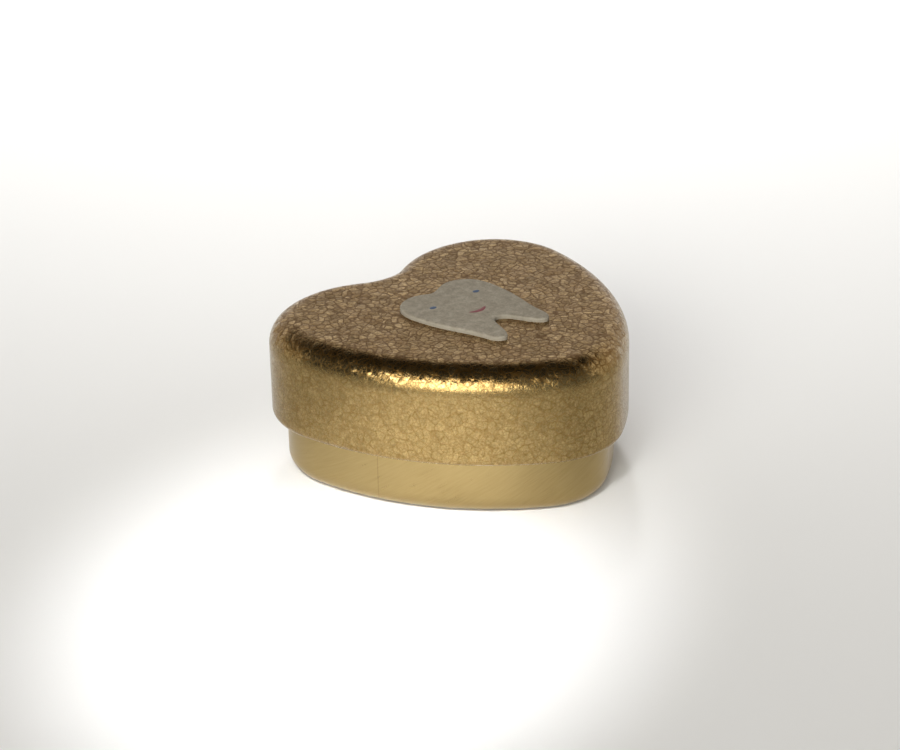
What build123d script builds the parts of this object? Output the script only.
"""Wind-up music box in a heart-shaped tin: slip-over lid, tooth badge, 18-note movement."""
import math
import os

from build123d import *

os.makedirs("parts", exist_ok=True)

# ---- driving dimensions, millimetres ----
lid_width = 80.0
lid_top = 35.0
lid_rim = 13.2
lid_edge = 5.8
sheet = 0.5
hem_depth = 2.8
hem_height = 2.6
base_inset = 3.2
base_edge = 4.2
foot_width = 0.9
well_depth = 8.5
rest_inset = 6.4
badge_thick = 1.0
badge_x = -1.1
badge_turn = 3.0

arbor_x = -13.5
arbor_y = 9.0
arbor_r = 1.5
plate_thick = 2.0
housing_r = 10.8
housing_high = 7.0
main_teeth = 36
main_module = 0.65
pinion_teeth = 10
drum_teeth = 32
fine_module = 0.4
idler_teeth = 8
worm_wheel_teeth = 24
worm_starts = 2
drum_r = 6.0
pin_r = 0.2
pin_reach = 0.7
notes = 18
note_pitch = 0.9
comb_gap = 0.15
stop_travel = 2.6

# ---- heart outline: tangent arcs, tip towards -Y ----
lobe_x = lid_width / 2 - 20.7
lobe_r = 20.7
lobe_angle = math.radians(71.8)
crown_r = 24.4
notch_r = 11.3
side_r = 66.3
tip_drop = 35.2
tip_r = 17.8
heart_y = (tip_drop + tip_r - (crown_r + (lobe_r - crown_r) * math.sin(lobe_angle))) / 2

# ---- derived values ----
floor_top = well_depth + sheet
plate_top = floor_top + plate_thick
housing_top = plate_top + housing_high
disc_low = housing_top + 0.4
disc_top = disc_low + 1.2
main_r = main_teeth * main_module / 2
pinion_r = pinion_teeth * main_module / 2
drum_z = disc_top + 0.72 + pinion_r
mesh_x = arbor_x + main_r
drum_low = 0.0
drum_high = 17.6
gear_x = 18.0
drum_gear_r = drum_teeth * fine_module / 2
idler_r = idler_teeth * fine_module / 2
idler_angle = math.radians(-35.0)
idler_y = arbor_y + (drum_gear_r + idler_r + 0.08) * math.cos(idler_angle)
idler_z = drum_z + (drum_gear_r + idler_r + 0.08) * math.sin(idler_angle)
wheel_x = 23.6
wheel_r = worm_wheel_teeth * fine_module / 2
worm_r = 1.4
worm_y = idler_y + wheel_r + worm_r + 0.06
worm_lead = math.pi * fine_module * worm_starts
comb_y = arbor_y - drum_r - pin_reach - comb_gap
first_note = 1.15


def toward(a, b):
    """Unit vector from a to b."""
    d = math.hypot(b[0] - a[0], b[1] - a[1])
    return ((b[0] - a[0]) / d, (b[1] - a[1]) / d)


def heart_arcs(inset):
    """Right half of the heart, tip to notch, as (centre, radius, start, end)."""
    lobe = (lobe_x, 0.0)
    tip = (0.0, -tip_drop)
    shift = lobe_r - crown_r
    crown = (lobe_x + shift * math.cos(lobe_angle), shift * math.sin(lobe_angle))
    notch = (0.0, crown[1] + math.sqrt((crown_r + notch_r) ** 2 - crown[0] ** 2))
    d = math.hypot(lobe[0], tip_drop)
    ra = side_r - lobe_r
    rb = side_r - tip_r
    along = (ra ** 2 - rb ** 2 + d ** 2) / (2 * d)
    across = math.sqrt(ra ** 2 - along ** 2)
    u = toward(lobe, tip)
    side = (lobe[0] + along * u[0] + across * u[1], lobe[1] + along * u[1] - across * u[0])

    def at(centre, radius, direction):
        return (centre[0] + radius * direction[0], centre[1] + radius * direction[1])

    to_lobe = (math.cos(lobe_angle), math.sin(lobe_angle))
    p0 = (0.0, -tip_drop - tip_r + inset)
    p1 = at(side, side_r - inset, toward(side, tip))
    p2 = at(side, side_r - inset, toward(side, lobe))
    p3 = at(lobe, lobe_r - inset, to_lobe)
    p4 = at(crown, crown_r - inset, toward(crown, notch))
    p5 = (0.0, notch[1] - notch_r - inset)
    return [
        (tip, tip_r - inset, p0, p1),
        (side, side_r - inset, p1, p2),
        (lobe, lobe_r - inset, p2, p3),
        (crown, crown_r - inset, p3, p4),
        (notch, notch_r + inset, p4, p5),
    ]


def heart_chain(inset):
    """The whole outline as three-point arcs."""
    right = []
    for centre, radius, start, end in heart_arcs(inset):
        mid = ((start[0] + end[0]) / 2, (start[1] + end[1]) / 2)
        u = toward(centre, mid)
        half = (centre[0] + radius * u[0], centre[1] + radius * u[1])
        right.append((start, half, end))
    left = [((-c[0], c[1]), (-b[0], b[1]), (-a[0], a[1])) for a, b, c in reversed(right)]
    return right + left


def heart(inset, z):
    """Heart face, moved in from the lid's outer wall by inset, at height z."""
    with BuildSketch(Plane.XY.offset(z)) as sk:
        with BuildLine():
            for a, b, c in heart_chain(inset):
                ThreePointArc((a[0], a[1] + heart_y), (b[0], b[1] + heart_y), (c[0], c[1] + heart_y))
        make_face()
    return sk.sketch


def heart_block(inset, low, high, top_round=0.0, low_round=0.0):
    """Heart prism with rounded top and bottom edges."""
    with BuildPart() as block:
        add(heart(inset, low))
        extrude(amount=high - low)
        if top_round > 0:
            fillet(block.faces().sort_by(Axis.Z)[-1].edges(), top_round)
        if low_round > 0:
            fillet(block.faces().sort_by(Axis.Z)[0].edges(), low_round)
    return block.part


def heart_cone(low_inset, low, high_inset, high):
    """Ruled heart frustum."""
    with BuildPart() as cone:
        add(heart(low_inset, low))
        add(heart(high_inset, high))
        loft(ruled=True)
    return cone.part


def disc(x, y, low, high, radius):
    """Upright cylinder solid."""
    with BuildPart() as part:
        with BuildSketch(Plane.XY.offset(low)):
            with Locations((x, y)):
                Circle(radius)
        extrude(amount=high - low)
    return part.part


def rod_x(y, z, low, high, radius):
    """Cylinder solid along X."""
    with BuildPart() as part:
        with BuildSketch(Plane.YZ.offset(low)):
            with Locations((y, z)):
                Circle(radius)
        extrude(amount=high - low)
    return part.part


def brick(x0, x1, y0, y1, z0, z1):
    """Box between two corners."""
    with BuildPart() as part:
        with BuildSketch(Plane.XY.offset(z0)):
            with Locations(((x0 + x1) / 2, (y0 + y1) / 2)):
                Rectangle(x1 - x0, y1 - y0)
        extrude(amount=z1 - z0)
    return part.part


def gear_outline(teeth, module, phase, flank):
    """Closed polygon of a straight-flanked gear, flank = tooth width share at the pitch circle."""
    r = teeth * module / 2
    step = 2 * math.pi / teeth
    points = []
    for k in range(teeth):
        mid = phase + k * step
        root = r - 1.2 * module
        tip = r + 0.85 * module
        a_root = step * flank * 0.72
        a_tip = step * flank * 0.24
        points.append((root * math.cos(mid - a_root), root * math.sin(mid - a_root)))
        points.append((tip * math.cos(mid - a_tip), tip * math.sin(mid - a_tip)))
        points.append((tip * math.cos(mid + a_tip), tip * math.sin(mid + a_tip)))
        points.append((root * math.cos(mid + a_root), root * math.sin(mid + a_root)))
    return points


def gear_x_axis(y, z, low, high, teeth, module, phase, flank=0.42):
    """Spur gear solid with its axis along X."""
    with BuildPart() as part:
        with BuildSketch(Plane.YZ.offset(low)):
            with BuildLine():
                outline = gear_outline(teeth, module, phase, flank)
                Polyline(*[(y + a, z + b) for a, b in outline], close=True)
            make_face()
        extrude(amount=high - low)
    return part.part


def slotted_screw(x, y, seat, head_r, head_h, shank_r, shank_l, up=True):
    """Slotted cheese-head screw; head above the seat when up, below it when not."""
    s = 1 if up else -1
    lows = sorted((seat, seat + s * head_h))
    shank = sorted((seat, seat - s * shank_l))
    slot = sorted((seat + s * head_h, seat + s * head_h * 0.55))
    with BuildPart() as screw:
        add(disc(x, y, lows[0], lows[1], head_r))
        add(disc(x, y, shank[0], shank[1], shank_r))
        add(brick(x - head_r, x + head_r, y - 0.22, y + 0.22, slot[0], slot[1]), mode=Mode.SUBTRACT)
    return screw.part


def finish(part, label):
    part.label = label
    export_step(part, "parts/" + label + ".step")


# ---- lid shell: drawn sheet, rounded top edge, hem rolled inwards ----
with BuildPart() as lid_shell:
    add(heart_block(0.0, lid_rim, lid_top, top_round=lid_edge))
    inside = heart_block(sheet, lid_rim - 1, lid_top - sheet, top_round=lid_edge - sheet)
    add(inside, mode=Mode.SUBTRACT)
with BuildPart() as lid_hem:
    add(heart_block(0.0, lid_rim, lid_rim + hem_height, low_round=1.2))
    add(heart_block(hem_depth, lid_rim - 1, lid_rim + 4), mode=Mode.SUBTRACT)
with BuildPart() as lid_trim:
    add(heart_block(-1.0, lid_rim - 1, lid_rim + 1.3))
    add(heart_block(0.0, lid_rim, lid_rim + 4, low_round=1.2), mode=Mode.SUBTRACT)
with BuildPart() as lid_body:
    add(lid_shell.part)
    add(lid_trim.part, mode=Mode.SUBTRACT)
    add(lid_hem.part)
finish(lid_body.part, "lid_shell")

# ---- tooth badge: soft-edged plaque on the lid ----
tooth_half = [
    (0.0, 12.9),
    (2.2, 13.7),
    (5.3, 14.7),
    (8.7, 14.0),
    (11.1, 11.9),
    (12.2, 8.6),
    (12.2, 5.0),
    (11.6, 0.5),
    (10.4, -4.5),
    (9.4, -8.0),
    (8.8, -11.5),
    (8.0, -14.2),
    (6.4, -15.1),
    (4.9, -14.0),
    (3.9, -12.2),
    (2.9, -9.7),
    (1.5, -7.2),
    (0.0, -6.4),
]
tooth_ring = tooth_half + [(-x, y) for x, y in reversed(tooth_half[1:-1])]
lean_c = math.cos(math.radians(badge_turn))
lean_s = math.sin(math.radians(badge_turn))
placed_ring = [(badge_x + x * lean_c - y * lean_s, x * lean_s + y * lean_c) for x, y in tooth_ring]
with BuildPart() as tooth_badge:
    with BuildSketch(Plane.XY.offset(lid_top)):
        with BuildLine():
            Spline(*placed_ring, periodic=True)
        make_face()
    extrude(amount=badge_thick)
    fillet(tooth_badge.faces().sort_by(Axis.Z)[-1].edges(), 0.45)
finish(tooth_badge.part, "tooth_badge")

# ---- base pan: wall, rolled bottom edge, foot ring, raised floor, in-turned rim ----
wall_top = lid_top - 2.8
contact = lid_top - sheet
well_inset = base_inset + base_edge + foot_width
pan_screws = [(10.0, 20.0), (-15.0, -6.5), (8.75, -11.5)]
with BuildPart() as base_shell:
    add(heart_block(base_inset, 0.0, wall_top, low_round=base_edge))
    add(heart_cone(base_inset, wall_top, rest_inset, contact))
    add(heart_block(base_inset + sheet, sheet, wall_top - 0.25, low_round=base_edge - sheet), mode=Mode.SUBTRACT)
    add(heart_cone(base_inset + sheet, wall_top - 0.25, rest_inset + 0.16, contact - sheet), mode=Mode.SUBTRACT)
    add(heart_block(rest_inset + 1.2, wall_top - 1, contact + 1), mode=Mode.SUBTRACT)
    add(heart_block(well_inset - sheet, 0.0, floor_top, top_round=1.2))
    add(heart_block(well_inset, -1.0, well_depth, top_round=0.7), mode=Mode.SUBTRACT)
    add(disc(arbor_x, arbor_y, 0, floor_top + 1, 3.0), mode=Mode.SUBTRACT)
    for x, y in pan_screws:
        add(disc(x, y, 0, floor_top + 1, 1.1), mode=Mode.SUBTRACT)
    add(brick(wheel_x - 2.1, wheel_x + 2.1, 4.8, 11.9, 5, floor_top + 1), mode=Mode.SUBTRACT)
finish(base_shell.part, "base_shell")

# ---- bedplate with comb ledge ----
ear_spots = []
for degrees in (90, 210, 330):
    a = math.radians(degrees)
    ear_spots.append((arbor_x + 12.6 * math.cos(a), arbor_y + 12.6 * math.sin(a)))
frame_spots = [(17.6, 21.5), (22.6, 1.6), (0.2, 20.6)]
comb_spots = [(4.0, -11.6), (13.5, -11.6)]
ledge_top = drum_z - 0.9
with BuildPart() as bedplate:
    add(heart_block(9.3, floor_top, plate_top))
    add(brick(-40, -28, -40, 40, 8, 12), mode=Mode.SUBTRACT)
    add(brick(-40, -19, -40, -9, 8, 12), mode=Mode.SUBTRACT)
    add(brick(-40, 40, -40, -16, 8, 12), mode=Mode.SUBTRACT)
    add(brick(-40, -3, -40, -11, 8, 12), mode=Mode.SUBTRACT)
    add(brick(0.2, 17.3, -14.2, -9.0, plate_top, ledge_top))
    with BuildSketch(Plane.XZ.offset(20)):
        with Locations((8.75, plate_top + 5.0)):
            SlotOverall(10.0, 5.0)
    extrude(amount=-14, mode=Mode.SUBTRACT)
    add(disc(arbor_x, arbor_y, 8, 12, 3.0), mode=Mode.SUBTRACT)
    for x, y in pan_screws:
        add(disc(x, y, 8, floor_top + 1.6, 1.1), mode=Mode.SUBTRACT)
    for x, y in ear_spots + frame_spots:
        add(disc(x, y, floor_top + 0.5, 12, 0.9), mode=Mode.SUBTRACT)
    for x, y in comb_spots:
        add(disc(x, y, ledge_top - 4.0, ledge_top + 1, 0.9), mode=Mode.SUBTRACT)
    add(brick(wheel_x - 1.8, wheel_x + 1.8, 3.5, 22.4, 8, floor_top + 0.95), mode=Mode.SUBTRACT)
    add(brick(wheel_x - 1.0, wheel_x + 1.0, 15.4, 20.2, 8, 12), mode=Mode.SUBTRACT)
finish(bedplate.part, "bedplate")

# ---- spring housing and mainspring ----
with BuildPart() as spring_housing:
    add(disc(arbor_x, arbor_y, plate_top, housing_top, housing_r))
    for x, y in ear_spots:
        add(disc(x, y, plate_top, plate_top + 1.0, 2.3))
        add(disc((x + arbor_x) / 2, (y + arbor_y) / 2, plate_top, plate_top + 1.0, 6.5))
    fillet(spring_housing.faces().sort_by(Axis.Z)[-1].edges(), 0.8)
    add(disc(arbor_x, arbor_y, plate_top - 1, housing_top - 0.6, housing_r - 0.6), mode=Mode.SUBTRACT)
    add(disc(arbor_x, arbor_y, plate_top - 1, housing_top + 1, arbor_r + 0.05), mode=Mode.SUBTRACT)
    for x, y in ear_spots:
        add(disc(x, y, plate_top - 1, plate_top + 2, 0.9), mode=Mode.SUBTRACT)
finish(spring_housing.part, "spring_housing")

spring_turns = 6.5
outer_line = []
inner_line = []
for k in range(int(spring_turns * 16) + 1):
    t = k / 16
    r = 2.2 + 7.4 * t / spring_turns
    a = 2 * math.pi * t
    c = math.cos(a)
    s = math.sin(a)
    outer_line.append((arbor_x + (r + 0.2) * c, arbor_y + (r + 0.2) * s))
    inner_line.append((arbor_x + r * c, arbor_y + r * s))
with BuildPart() as mainspring:
    with BuildSketch(Plane.XY.offset(plate_top + 0.5)):
        with BuildLine():
            Spline(*outer_line)
            Line(outer_line[-1], inner_line[-1])
            Spline(*inner_line)
            Line(inner_line[0], outer_line[0])
        make_face()
    extrude(amount=5.4)
finish(mainspring.part, "mainspring")

# ---- winding arbor, key and clip ----
with BuildPart() as winding_arbor:
    add(disc(arbor_x, arbor_y, 2.0, disc_top + 2.6, arbor_r))
finish(winding_arbor.part, "winding_arbor")

with BuildPart() as winding_key:
    add(disc(arbor_x, arbor_y, 1.2, 7.9, 2.6))
    with BuildSketch(Plane.XZ.offset(-arbor_y - 0.75)):
        with Locations((arbor_x - 6.2, 3.7), (arbor_x + 6.2, 3.7)):
            Ellipse(4.8, 2.9)
        with Locations((arbor_x, 3.7)):
            Rectangle(6.0, 3.2)
        with Locations((arbor_x - 6.9, 3.7), (arbor_x + 6.9, 3.7)):
            Ellipse(2.3, 1.2, mode=Mode.SUBTRACT)
    extrude(amount=1.5)
    add(disc(arbor_x, arbor_y, 2.0, 9.0, arbor_r), mode=Mode.SUBTRACT)
finish(winding_key.part, "winding_key")

with BuildPart() as arbor_clip:
    add(disc(arbor_x, arbor_y, disc_top + 1.5, disc_top + 2.0, 2.7))
    add(disc(arbor_x, arbor_y, disc_top, disc_top + 3.0, arbor_r), mode=Mode.SUBTRACT)
    add(brick(arbor_x - 0.9, arbor_x + 0.9, arbor_y - 4, arbor_y - 1, disc_top, disc_top + 3), mode=Mode.SUBTRACT)
finish(arbor_clip.part, "arbor_clip")

# ---- main crown gear ----
tooth_high = 1.4
tooth_planes = []
for k in range(main_teeth):
    a = 2 * math.pi * k / main_teeth
    start = (arbor_x + (main_r - 0.8) * math.cos(a), arbor_y + (main_r - 0.8) * math.sin(a), disc_top - 0.1)
    tooth_planes.append(
        Plane(origin=start, x_dir=(-math.sin(a), math.cos(a), 0), z_dir=(math.cos(a), math.sin(a), 0))
    )
with BuildPart() as main_gear:
    add(disc(arbor_x, arbor_y, disc_low, disc_top, main_r + 0.9))
    add(disc(arbor_x, arbor_y, disc_top - 0.5, disc_top + 0.1, main_r - 1.4), mode=Mode.SUBTRACT)
    add(disc(arbor_x, arbor_y, disc_low, disc_top + 1.3, 2.4))
    with BuildSketch(*tooth_planes):
        Polygon((-0.62, 0), (0.62, 0), (0.24, 1.5), (-0.24, 1.5), align=None)
    extrude(amount=1.6)
    for k in range(4):
        a = math.pi / 4 + k * math.pi / 2
        hole_x = arbor_x + 6.6 * math.cos(a)
        hole_y = arbor_y + 6.6 * math.sin(a)
        add(disc(hole_x, hole_y, disc_low - 1, disc_top + 1, 2.2), mode=Mode.SUBTRACT)
    add(disc(arbor_x, arbor_y, disc_low - 1, disc_top + 3, arbor_r + 0.05), mode=Mode.SUBTRACT)
finish(main_gear.part, "main_gear")

with BuildPart() as clutch_spring:
    with BuildLine(Plane.XY.offset(disc_top - 0.1)):
        coil = Helix(pitch=0.45, height=1.2, radius=2.75, center=(arbor_x, arbor_y, 0))
    with BuildSketch(Plane(origin=coil @ 0, z_dir=coil % 0)):
        Circle(0.2)
    sweep(path=coil, is_frenet=True)
finish(clutch_spring.part, "clutch_spring")

# ---- drum: pinned cylinder, its arbor, pinion and output gear ----
pin_planes = []
score = [0, 5, 9, 14, 3, 11, 7, 16, 1, 12, 6, 17, 4, 10, 2, 15, 8, 13]
for n in range(notes):
    x = first_note + note_pitch * n
    for j in range(4):
        a = 2 * math.pi * ((score[n] + 4.37 * j + 0.31 * n * j) / 19.0)
        start = (x, arbor_y + (drum_r - 0.2) * math.cos(a), drum_z + (drum_r - 0.2) * math.sin(a))
        pin_planes.append(Plane(origin=start, x_dir=(1, 0, 0), z_dir=(0, math.cos(a), math.sin(a))))
with BuildPart() as drum:
    add(rod_x(arbor_y, drum_z, drum_low, drum_high, drum_r))
    add(rod_x(arbor_y, drum_z, drum_low + 0.6, drum_high - 0.6, drum_r - 0.8), mode=Mode.SUBTRACT)
    add(rod_x(arbor_y, drum_z, drum_low - 1, drum_high + 1, 1.0), mode=Mode.SUBTRACT)
    with BuildSketch(*pin_planes):
        Circle(pin_r)
    extrude(amount=pin_reach + 0.2)
finish(drum.part, "drum")

with BuildPart() as drum_arbor:
    add(rod_x(arbor_y, drum_z, mesh_x - 4.0, 21.9, 1.0))
finish(drum_arbor.part, "drum_arbor")

with BuildPart() as drum_pinion:
    add(gear_x_axis(arbor_y, drum_z, mesh_x - 0.8, mesh_x + 0.8, pinion_teeth, main_module,
                    -math.pi / 2 + math.pi / pinion_teeth, 0.40))
    add(rod_x(arbor_y, drum_z, mesh_x + 0.8, drum_low, 1.9))
    add(rod_x(arbor_y, drum_z, mesh_x - 2, drum_low + 1, 1.0), mode=Mode.SUBTRACT)
finish(drum_pinion.part, "drum_pinion")

with BuildPart() as drum_gear:
    add(gear_x_axis(arbor_y, drum_z, gear_x, gear_x + 1.2, drum_teeth, fine_module, idler_angle))
    add(rod_x(arbor_y, drum_z, drum_high, gear_x + 1.6, 1.9))
    add(rod_x(arbor_y, drum_z, drum_high - 1, gear_x + 3, 1.0), mode=Mode.SUBTRACT)
finish(drum_gear.part, "drum_gear")

# ---- drum bearing on the crown-gear side ----
with BuildPart() as drum_bracket:
    with BuildSketch(Plane.YZ.offset(-5.4)):
        with BuildLine():
            Polyline(
                (19.0, plate_top), (22.0, plate_top), (22.0, drum_z + 1.0), (21.0, drum_z + 2.2),
                (6.8, drum_z + 2.2), (6.4, drum_z + 1.0), (6.4, drum_z - 1.5), (19.0, drum_z - 1.5),
                close=True,
            )
        make_face()
    extrude(amount=1.2)
    add(brick(-5.4, 2.2, 19.0, 22.0, plate_top, plate_top + 1.1))
    add(rod_x(arbor_y, drum_z, -7, -3, 1.05), mode=Mode.SUBTRACT)
    add(disc(0.2, 20.6, 10, 13, 0.9), mode=Mode.SUBTRACT)
finish(drum_bracket.part, "drum_bracket")

# ---- governor frame ----
flange_top = plate_top + 1.2
bridge_z = 22.4
with BuildPart() as governor_frame:
    with BuildSketch(Plane.YZ.offset(20.2)):
        with BuildLine():
            Polyline(
                (5.6, plate_top), (5.6, drum_z + 1.2), (6.8, drum_z + 2.2), (11.2, drum_z + 2.2),
                (12.8, bridge_z + 1.0), (worm_y + 1.8, bridge_z + 1.0), (worm_y + 1.8, plate_top),
                close=True,
            )
        make_face()
        with BuildLine():
            Polyline((7.4, 13.6), (7.4, 19.6), (12.4, 19.6), (12.4, 13.6), close=True)
        make_face(mode=Mode.SUBTRACT)
    extrude(amount=1.2)
    with BuildSketch(Plane.YZ.offset(25.8)):
        with BuildLine():
            Polyline(
                (12.8, plate_top), (12.8, 20.6), (14.2, bridge_z + 1.0),
                (worm_y + 1.8, bridge_z + 1.0), (worm_y + 1.8, plate_top), close=True,
            )
        make_face()
    extrude(amount=1.0)
    add(brick(20.2, 26.8, 12.8, worm_y + 1.8, plate_top, flange_top))
    add(brick(20.2, 26.8, worm_y - 1.6, worm_y + 1.8, bridge_z, bridge_z + 1.0))
    add(brick(15.4, 20.2, 19.3, worm_y + 1.8, plate_top, plate_top + 1.1))
    add(brick(20.2, 25.0, -0.4, 6.0, plate_top, plate_top + 1.1))
    add(rod_x(arbor_y, drum_z, 19, 23, 1.05), mode=Mode.SUBTRACT)
    add(rod_x(idler_y, idler_z, 19, 28, 0.65), mode=Mode.SUBTRACT)
    add(disc(wheel_x, worm_y, 10, 26, 0.6), mode=Mode.SUBTRACT)
    add(brick(wheel_x - 0.95, wheel_x + 0.95, 15.5, 20.1, 10, 13), mode=Mode.SUBTRACT)
    add(disc(17.6, 21.5, 10, 13, 0.9), mode=Mode.SUBTRACT)
    add(disc(22.6, 1.6, 10, 13, 0.9), mode=Mode.SUBTRACT)
finish(governor_frame.part, "governor_frame")

# ---- idler: pinion, arbor and worm wheel ----
idler_phase = idler_angle + math.pi + math.pi / idler_teeth
with BuildPart() as idler_arbor:
    add(rod_x(idler_y, idler_z, gear_x - 0.3, 27.2, 0.6))
finish(idler_arbor.part, "idler_arbor")
with BuildPart() as idler_pinion:
    add(gear_x_axis(idler_y, idler_z, gear_x, gear_x + 1.3, idler_teeth, fine_module, idler_phase, 0.40))
    add(rod_x(idler_y, idler_z, gear_x - 1, gear_x + 3, 0.6), mode=Mode.SUBTRACT)
finish(idler_pinion.part, "idler_pinion")
with BuildPart() as worm_wheel:
    add(gear_x_axis(idler_y, idler_z, wheel_x - 0.5, wheel_x + 0.5, worm_wheel_teeth, fine_module, 0.0, 0.34))
    add(rod_x(idler_y, idler_z, wheel_x - 1.4, wheel_x + 1.4, 1.3))
    add(rod_x(idler_y, idler_z, 20, 28, 0.6), mode=Mode.SUBTRACT)
finish(worm_wheel.part, "worm_wheel")

# ---- worm shaft, brake disc and fan ----
worm_low = idler_z - 2.5
with BuildPart() as worm_shaft:
    add(disc(wheel_x, worm_y, plate_top + 0.3, 28.9, 0.55))
    add(disc(wheel_x, worm_y, worm_low - 0.3, worm_low + 5.4, 0.95))
    add(disc(wheel_x, worm_y, 13.0, 14.0, 2.0))
    for k in range(worm_starts):
        start_angle = 360.0 * k / worm_starts
        with BuildLine(Plane.XY) as thread_line:
            thread = Helix(pitch=worm_lead, height=5.0, radius=0.9)
        with BuildSketch(Plane(origin=thread @ 0, x_dir=(1, 0, 0), z_dir=thread % 0)):
            Polygon((-0.05, -0.26), (0.78, -0.09), (0.78, 0.09), (-0.05, 0.26), align=None)
        ridge = sweep(path=thread, is_frenet=True, mode=Mode.PRIVATE)
        spun = Rotation(0, 0, start_angle) * ridge
        add(Location((wheel_x, worm_y, worm_low)) * spun)
finish(worm_shaft.part, "worm_shaft")

with BuildPart() as fan:
    add(disc(wheel_x, worm_y, 24.4, 28.6, 1.1))
    add(brick(wheel_x - 4.3, wheel_x + 4.3, worm_y - 0.2, worm_y + 0.2, 24.6, 28.4))
    add(disc(wheel_x, worm_y, 20, 30, 0.55), mode=Mode.SUBTRACT)
finish(fan.part, "fan")

# ---- comb, its weights, screws ----
with BuildPart() as comb:
    low_x = first_note - 0.45
    high_x = first_note + note_pitch * (notes - 1) + 0.45
    add(brick(low_x, high_x, -14.2, -9.0, ledge_top, ledge_top + 1.5))
    add(brick(low_x, high_x, -9.1, comb_y, ledge_top + 0.7, ledge_top + 1.2))
    for n in range(notes - 1):
        x = first_note + note_pitch * (n + 0.5)
        root_y = -8.6 + 4.2 * n / (notes - 2)
        add(brick(x - 0.13, x + 0.13, root_y, 4, ledge_top, ledge_top + 2), mode=Mode.SUBTRACT)
    for x, y in comb_spots:
        add(disc(x, y, ledge_top - 1, ledge_top + 2, 0.9), mode=Mode.SUBTRACT)
finish(comb.part, "comb")

with BuildPart() as tuning_weights:
    for n in range(8):
        x = first_note + note_pitch * n
        back = comb_y - 0.6 - (3.6 - 0.38 * n)
        add(brick(x - 0.3, x + 0.3, back, comb_y - 0.6, ledge_top - 1.6 + 0.17 * n, ledge_top + 0.7))
finish(tuning_weights.part, "tuning_weights")

with BuildPart() as comb_screws:
    for x, y in comb_spots:
        add(slotted_screw(x, y, ledge_top + 1.5, 1.7, 1.1, 0.9, 4.5))
finish(comb_screws.part, "comb_screws")

with BuildPart() as frame_screws:
    for x, y in ear_spots:
        add(slotted_screw(x, y, plate_top + 1.0, 1.6, 1.0, 0.9, 2.2))
    for x, y in frame_spots:
        add(slotted_screw(x, y, plate_top + 1.1, 1.6, 1.0, 0.9, 2.2))
finish(frame_screws.part, "frame_screws")

with BuildPart() as pan_screw_set:
    for x, y in pan_screws:
        add(slotted_screw(x, y, well_depth, 2.2, 1.1, 1.1, 1.9, up=False))
finish(pan_screw_set.part, "pan_screws")

# ---- stop slider: sandwiched between floor and bedplate ----
with BuildPart() as stop_slider:
    add(brick(wheel_x - 1.5, wheel_x + 1.5, 4.0, 18.6, floor_top + 0.1, floor_top + 0.8))
    add(disc(wheel_x, 7.0, 4.0, floor_top + 0.2, 1.7))
    reach = worm_y - 2.0 - stop_travel - 0.06
    add(brick(wheel_x - 0.7, wheel_x + 0.7, reach - 1.1, reach, floor_top + 0.5, 13.6))
finish(stop_slider.part, "stop_slider")
